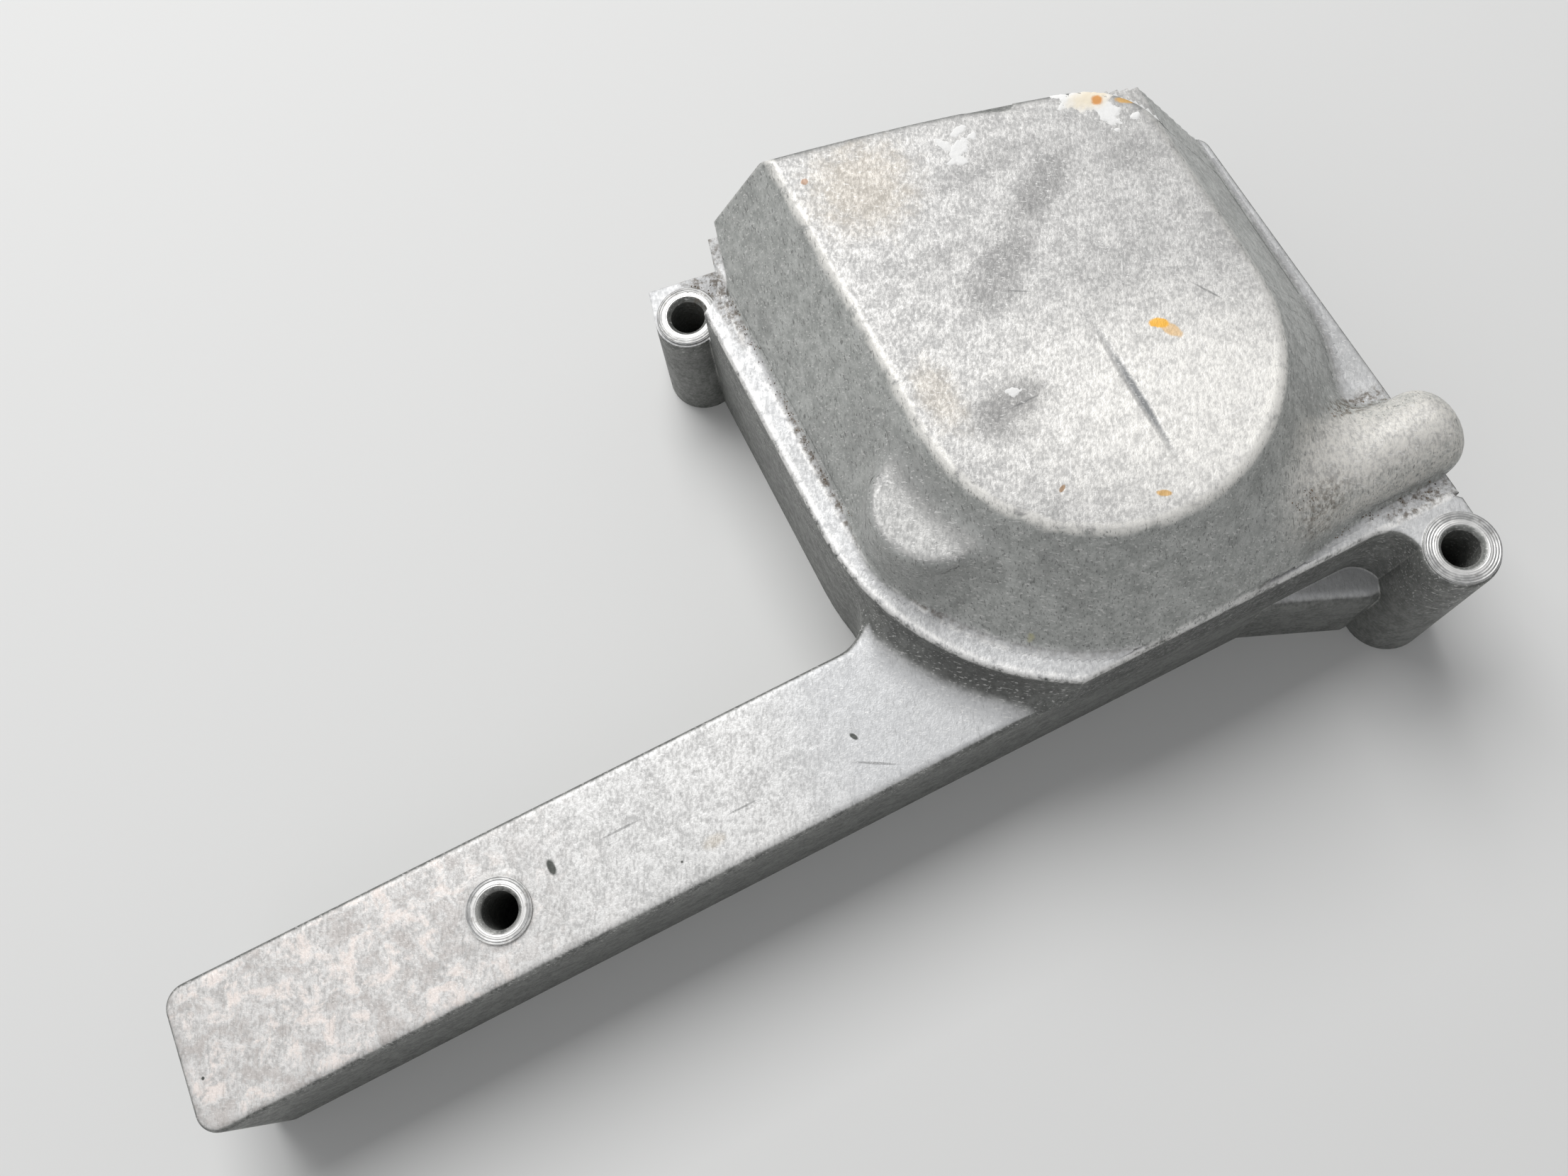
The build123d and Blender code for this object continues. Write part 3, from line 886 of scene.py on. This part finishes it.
def on_ledge_or_above(x, y):
    """Whether a corner may show here: inside the body's edge and the pocket's rim."""
    across = math.hypot(x - DOME_X, min(y - DOME_Y, 0.0))
    if across > LEDGE_OUTER - 1.0 and x < DOME_X:
        return False
    if y < NEAR_WALL_Y + 0.9 and x < WEB_LEFT_X:
        return False
    if x > RIGHT_WALL_X - 1.0 - (y - NEAR_WALL_Y) * RIGHT_LEAN:
        return False
    if math.hypot(x - FAR_X, y - FAR_Y) > FAR_RADIUS - 0.5:
        return False
    away_x, away_y = x - LUG_X, y - LUG_Y
    along = away_x * math.sin(POCKET_TURN) + away_y * math.cos(POCKET_TURN)
    aside = away_x * math.cos(POCKET_TURN) - away_y * math.sin(POCKET_TURN)
    reach = math.hypot(aside, along) if along < 0.0 else abs(aside)
    return reach > POCKET_RADIUS


def soft_corners(material, skin):
    """Keep the melted surface only where it stands proud of the casting, and return its skin."""
    mesh = grow(soft_corner_tree(material), "soft_corners", MELT_WIDTHS)
    work = bmesh.new()
    work.from_mesh(mesh)
    lost = []
    for vert in work.verts:
        place, normal = skin.find_nearest(vert.co)[:2]
        proud = (vert.co - place).dot(normal) / MM
        if proud < LEAST_PROUD or not on_ledge_or_above(vert.co.x / MM, vert.co.y / MM):
            lost.append(vert)
    bmesh.ops.delete(work, geom=lost, context="VERTS")
    delete_loose(work)
    work.to_mesh(mesh)
    work.free()
    add_piece("soft_corners", mesh, material)
    corners = [vert.co for vert in mesh.vertices]
    return BVHTree.FromPolygons(corners, [face.vertices for face in mesh.polygons])


def seat_ring(name, seat, material):
    """Turned face round a screw hole, cut with shallow circles, on a skirt sunk in the seat."""
    centre_x, centre_y, seat_z, radius = seat
    start, end = HOLE_EDGE + 0.05, radius - 0.12
    profile = [(HOLE_EDGE + 0.02, seat_z - RING_SKIRT)]
    for row in range(RING_ROWS + 1):
        r = start + (end - start) * row / RING_ROWS
        groove = GROOVE_DEPTH * math.cos(2.0 * math.pi * (r - HOLE_EDGE) / GROOVE_PITCH)
        step_down = RING_STEP if r > RING_STEP_RADIUS else 0.0
        profile.append((r, seat_z + RING_RISE - step_down + groove))
    profile.append((end + 0.05, seat_z - RING_SKIRT))
    corners = []
    for r, height in profile:
        for turn in range(RING_TURNS):
            angle = 2.0 * math.pi * turn / RING_TURNS
            corners.append((centre_x + r * math.cos(angle), centre_y + r * math.sin(angle), height))
    faces = []
    for row in range(len(profile) - 1):
        here, there = row * RING_TURNS, (row + 1) * RING_TURNS
        for turn in range(RING_TURNS):
            after = (turn + 1) % RING_TURNS
            faces.append((here + turn, there + turn, there + after, here + after))
    add_piece(name, mesh_from(name, corners, faces), material)


def crust_share(x, y, lumps):
    """Above 0 inside a few ellipses with a torn outline."""
    inside = -9.0
    for lump_x, lump_y, a, b, turn in lumps:
        angle = math.radians(turn)
        along = (x - lump_x) * math.cos(angle) + (y - lump_y) * math.sin(angle)
        aside = (y - lump_y) * math.cos(angle) - (x - lump_x) * math.sin(angle)
        inside = max(inside, 1.0 - math.hypot(along / a, aside / b))
    return inside + noise.fractal(Vector((x, y, 3.0)) * 0.9, 0.8, 2.1, 4) * 0.55


def crust_patch(name, lumps, thickness, cell, material, skin):
    """Flaky crust that lies on the casting: a raised sheet over a few torn ellipses."""
    low_x = min(x - CRUST_MARGIN * a for x, y, a, b, turn in lumps)
    high_x = max(x + CRUST_MARGIN * a for x, y, a, b, turn in lumps)
    low_y = min(y - CRUST_MARGIN * max(a, b) for x, y, a, b, turn in lumps)
    high_y = max(y + CRUST_MARGIN * max(a, b) for x, y, a, b, turn in lumps)
    columns = int((high_x - low_x) / cell)
    rows = int((high_y - low_y) / cell)
    corners, shares = [], []
    for row in range(rows + 1):
        for column in range(columns + 1):
            x, y = low_x + column * cell, low_y + row * cell
            share = crust_share(x, y, lumps)
            place, normal = drop_onto([skin], x, y)
            if place is None:
                place, normal, share = Vector((x, y, 0.0)) * MM, -DOWN, -1.0
            lumpy = 0.5 + 0.5 * noise.noise(Vector((x, y, 9.0)) * 2.6)
            lift = min(max(share * 4.0, -0.6), 1.0) * thickness * (0.55 + 0.45 * lumpy)
            corners.append((place + normal * lift * MM) / MM)
            shares.append(share)
    faces = []
    for row in range(rows):
        for column in range(columns):
            a = row * (columns + 1) + column
            b = a + columns + 1
            face = (a, a + 1, b + 1, b)
            lowest, highest = height_span(corners, face)
            if max(shares[i] for i in face) > 0.0 and highest - lowest < CRUST_CLIMB:
                faces.append(face)
    mesh = mesh_from(name, corners, faces)
    work = bmesh.new()
    work.from_mesh(mesh)
    delete_loose(work)
    work.to_mesh(mesh)
    work.free()
    add_piece(name, mesh, material)


def random_vector(s, low, high, seed):
    """Random vector for each instance, from a fixed seed."""
    node = s.nodes.new("FunctionNodeRandomValue")
    node.data_type = "FLOAT_VECTOR"
    node.inputs["Min"].default_value = low
    node.inputs["Max"].default_value = high
    node.inputs["Seed"].default_value = seed
    return node.outputs["Value"]


def crumb_tree(material):
    """Geometry nodes: crumbs strewn over the strips they are given."""
    tree, s, entry, p = new_growth("strewn_grime", CRUMBS)
    clumps = s.step(s.noise(p, 2.2, 3.0, 0.6), 0.44, 0.62)

    strew = s.nodes.new("GeometryNodeDistributePointsOnFaces")
    s.put(strew.inputs["Mesh"], entry["Geometry"])
    per_square_metre = s.times(entry["Crumbs per square mm"], clumps, 1.0 / MM ** 2)
    s.put(strew.inputs["Density"], per_square_metre)
    strew.inputs["Seed"].default_value = 7

    crumb = s.nodes.new("GeometryNodeMeshIcoSphere")
    s.put(crumb.inputs["Radius"], s.times(entry["Crumb size"], MM))
    crumb.inputs["Subdivisions"].default_value = 1

    size = random_vector(s, (0.35, 0.35, 0.20), (1.25, 1.05, 0.60), 11)
    turn = random_vector(s, (-0.35, -0.35, 0.0), (0.35, 0.35, 6.28), 5)
    lay = s.nodes.new("GeometryNodeInstanceOnPoints")
    s.put(lay.inputs["Points"], strew.outputs["Points"])
    s.put(lay.inputs["Instance"], crumb.outputs["Mesh"])
    s.put(lay.inputs["Rotation"], turn)
    s.put(lay.inputs["Scale"], size)
    finish_growth(s, lay.outputs[0], material)
    return tree


def strip_along(path, skins):
    """Strip of small faces along a path of (x, y, half width), laid on the skins below it."""
    corners, faces = [], []
    across = len(STRIP_SIDES)
    for (x1, y1, w1), (x2, y2, w2) in zip(path, path[1:]):
        far = math.hypot(x2 - x1, y2 - y1)
        nx, ny = -(y2 - y1) / far, (x2 - x1) / far
        count = max(int(far / STRIP_STEP), 1)
        start = len(corners)
        for step in range(count + 1):
            part = step / count
            x, y, w = x1 + (x2 - x1) * part, y1 + (y2 - y1) * part, w1 + (w2 - w1) * part
            for side in STRIP_SIDES:
                px, py = x + nx * w * side, y + ny * w * side
                place = drop_onto(skins, px, py)[0]
                corners.append((px, py, 0.0 if place is None else place.z / MM))
        for step in range(count):
            for side in range(across - 1):
                a = start + step * across + side
                face = (a, a + 1, a + across + 1, a + across)
                lowest, highest = height_span(corners, face)
                if highest - lowest < STRIP_CLIMB and lowest > STRIP_LOWEST:
                    faces.append(face)
    return corners, faces


def strewn_grime(material, skins):
    """Crumbs of dirt in the seams that the dirt in the material follows."""
    corners, faces = [], []
    for path in GRIME_PATHS:
        more, rings = strip_along(path, skins)
        start = len(corners)
        corners += more
        faces += [tuple(i + start for i in ring) for ring in rings]
    strips = mesh_from("grime_strips", corners, faces)
    mesh = grow(crumb_tree(material), "strewn_grime", CRUMBS, strips)
    add_piece("strewn_grime", mesh, material)


def plain_floor():
    """Pale matt floor that the cover lies on."""
    mesh = bpy.data.meshes.new("floor")
    r = FLOOR_REACH
    mesh.from_pydata([(-r, -r, 0), (r, -r, 0), (r, r, 0), (-r, r, 0)], [], [(0, 1, 2, 3)])
    floor = bpy.data.objects.new("floor", mesh)
    bpy.context.scene.collection.objects.link(floor)
    material, s = new_material("pale_floor")[:2]
    finish_material(s, (0.78, 0.78, 0.77), 0.9, metal=0.0)
    mesh.materials.append(material)


def soft_lamp(name, place, size, watts):
    """Square lamp that points at the cover."""
    data = bpy.data.lights.new(name, "AREA")
    data.shape = "SQUARE"
    data.size = size
    data.energy = watts
    lamp = bpy.data.objects.new(name, data)
    lamp.location = place
    aim = Vector(LIT_PLACE) - Vector(place)
    lamp.rotation_euler = aim.to_track_quat("-Z", "Y").to_euler()
    bpy.context.scene.collection.objects.link(lamp)


def light_room():
    """Dim room with a brighter backdrop, and the lamps."""
    world = bpy.data.worlds.new("studio")
    world.use_nodes = True
    background = world.node_tree.nodes["Background"]
    background.inputs["Color"].default_value = ROOM_COLOUR
    s = Sketch(world.node_tree)
    path = s.nodes.new("ShaderNodeLightPath").outputs
    seen = s.math("MAXIMUM", path["Is Camera Ray"], path["Is Transmission Ray"])
    mirrored = s.times(path["Is Glossy Ray"], GLOSSY_SHARE)
    seen = s.math("MAXIMUM", seen, mirrored)
    strength = s.add(ROOM_LIGHT, s.times(seen, SEEN_LIGHT - ROOM_LIGHT))
    s.put(background.inputs["Strength"], strength)
    bpy.context.scene.world = world
    for lamp in LAMPS:
        soft_lamp(*lamp)


def photo_camera():
    """Camera at the photograph's place."""
    data = bpy.data.cameras.new("camera")
    data.sensor_fit = "HORIZONTAL"
    data.sensor_width = SENSOR_WIDTH
    data.lens = CAMERA_LENS
    data.clip_start = 0.01
    camera = bpy.data.objects.new("camera", data)
    camera.location = CAMERA_PLACE
    level = (CAMERA_TARGET - CAMERA_PLACE).to_track_quat("-Z", "Y")
    camera.rotation_euler = (level @ Quaternion((0.0, 0.0, 1.0), CAMERA_ROLL)).to_euler()
    bpy.context.scene.collection.objects.link(camera)
    bpy.context.scene.camera = camera


def casting_skin():
    """The CAD casting's surface, to measure from."""
    work = bmesh.new()
    work.from_mesh(cover.data)
    bmesh.ops.remove_doubles(work, verts=work.verts, dist=1e-7)
    tree = BVHTree.FromBMesh(work)
    work.free()
    return tree


photo_camera()
light_room()
plain_floor()
bpy.context.scene.view_settings.view_transform = "Standard"

aluminium = CastAluminium().material
cover.data.materials.clear()
cover.data.materials.append(aluminium)
cast_skin = casting_skin()
melted_skin = soft_corners(aluminium, cast_skin)

turned = turned_material()
for number, seat in enumerate(SEATS, 1):
    seat_ring("seat_ring_%d" % number, seat, turned)

crust = crust_material()
crust_patch("corner_crust", CORNER_LUMPS, CORNER_THICKNESS, CORNER_CELL, crust, cast_skin)
for number, lump in enumerate(FLECK_LUMPS, 1):
    name = "paint_fleck_%d" % number
    crust_patch(name, [lump], FLECK_THICKNESS, FLECK_CELL, crust, cast_skin)
strewn_grime(grime_material(), [cast_skin, melted_skin])
